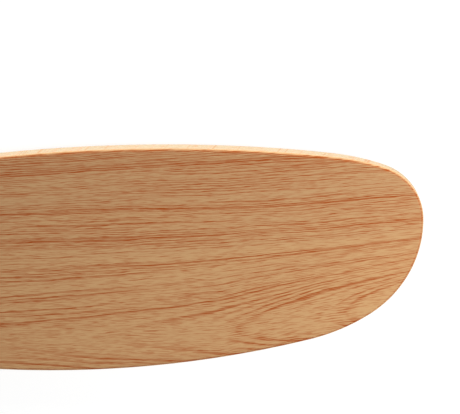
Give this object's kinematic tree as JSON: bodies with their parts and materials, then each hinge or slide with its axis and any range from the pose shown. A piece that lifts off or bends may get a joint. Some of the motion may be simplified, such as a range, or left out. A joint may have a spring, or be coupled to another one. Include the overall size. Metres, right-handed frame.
{
  "type": "transfer board",
  "caption": "Flat wooden transfer board, a long laminated plank with round ends and softly rounded edges, for sliding a seated person between two surfaces.",
  "frame": {"origin": "on the underside, under the middle of the board's box", "axes": "+Z out of the sliding face, X along the board, +Y towards its flatter long edge"},
  "size_m": [0.61, 0.2154, 0.018],
  "materials": {
    "show_veneer": "satin lacquer",
    "long_ply": "sanded and lacquered edge",
    "cross_ply": "sanded and lacquered end grain"
  },
  "bodies": {
    "root": {"bottom_veneer": "show_veneer", "core_ply_01_cross": "cross_ply", "core_ply_02_long": "long_ply", "core_ply_03_cross": "cross_ply", "core_ply_04_long": "long_ply", "core_ply_05_cross": "cross_ply", "core_ply_06_long": "long_ply", "core_ply_07_cross": "cross_ply", "core_ply_08_long": "long_ply", "core_ply_09_cross": "cross_ply", "core_ply_10_long": "long_ply", "core_ply_11_cross": "cross_ply", "top_veneer": "show_veneer"}
  },
  "joints": []
}
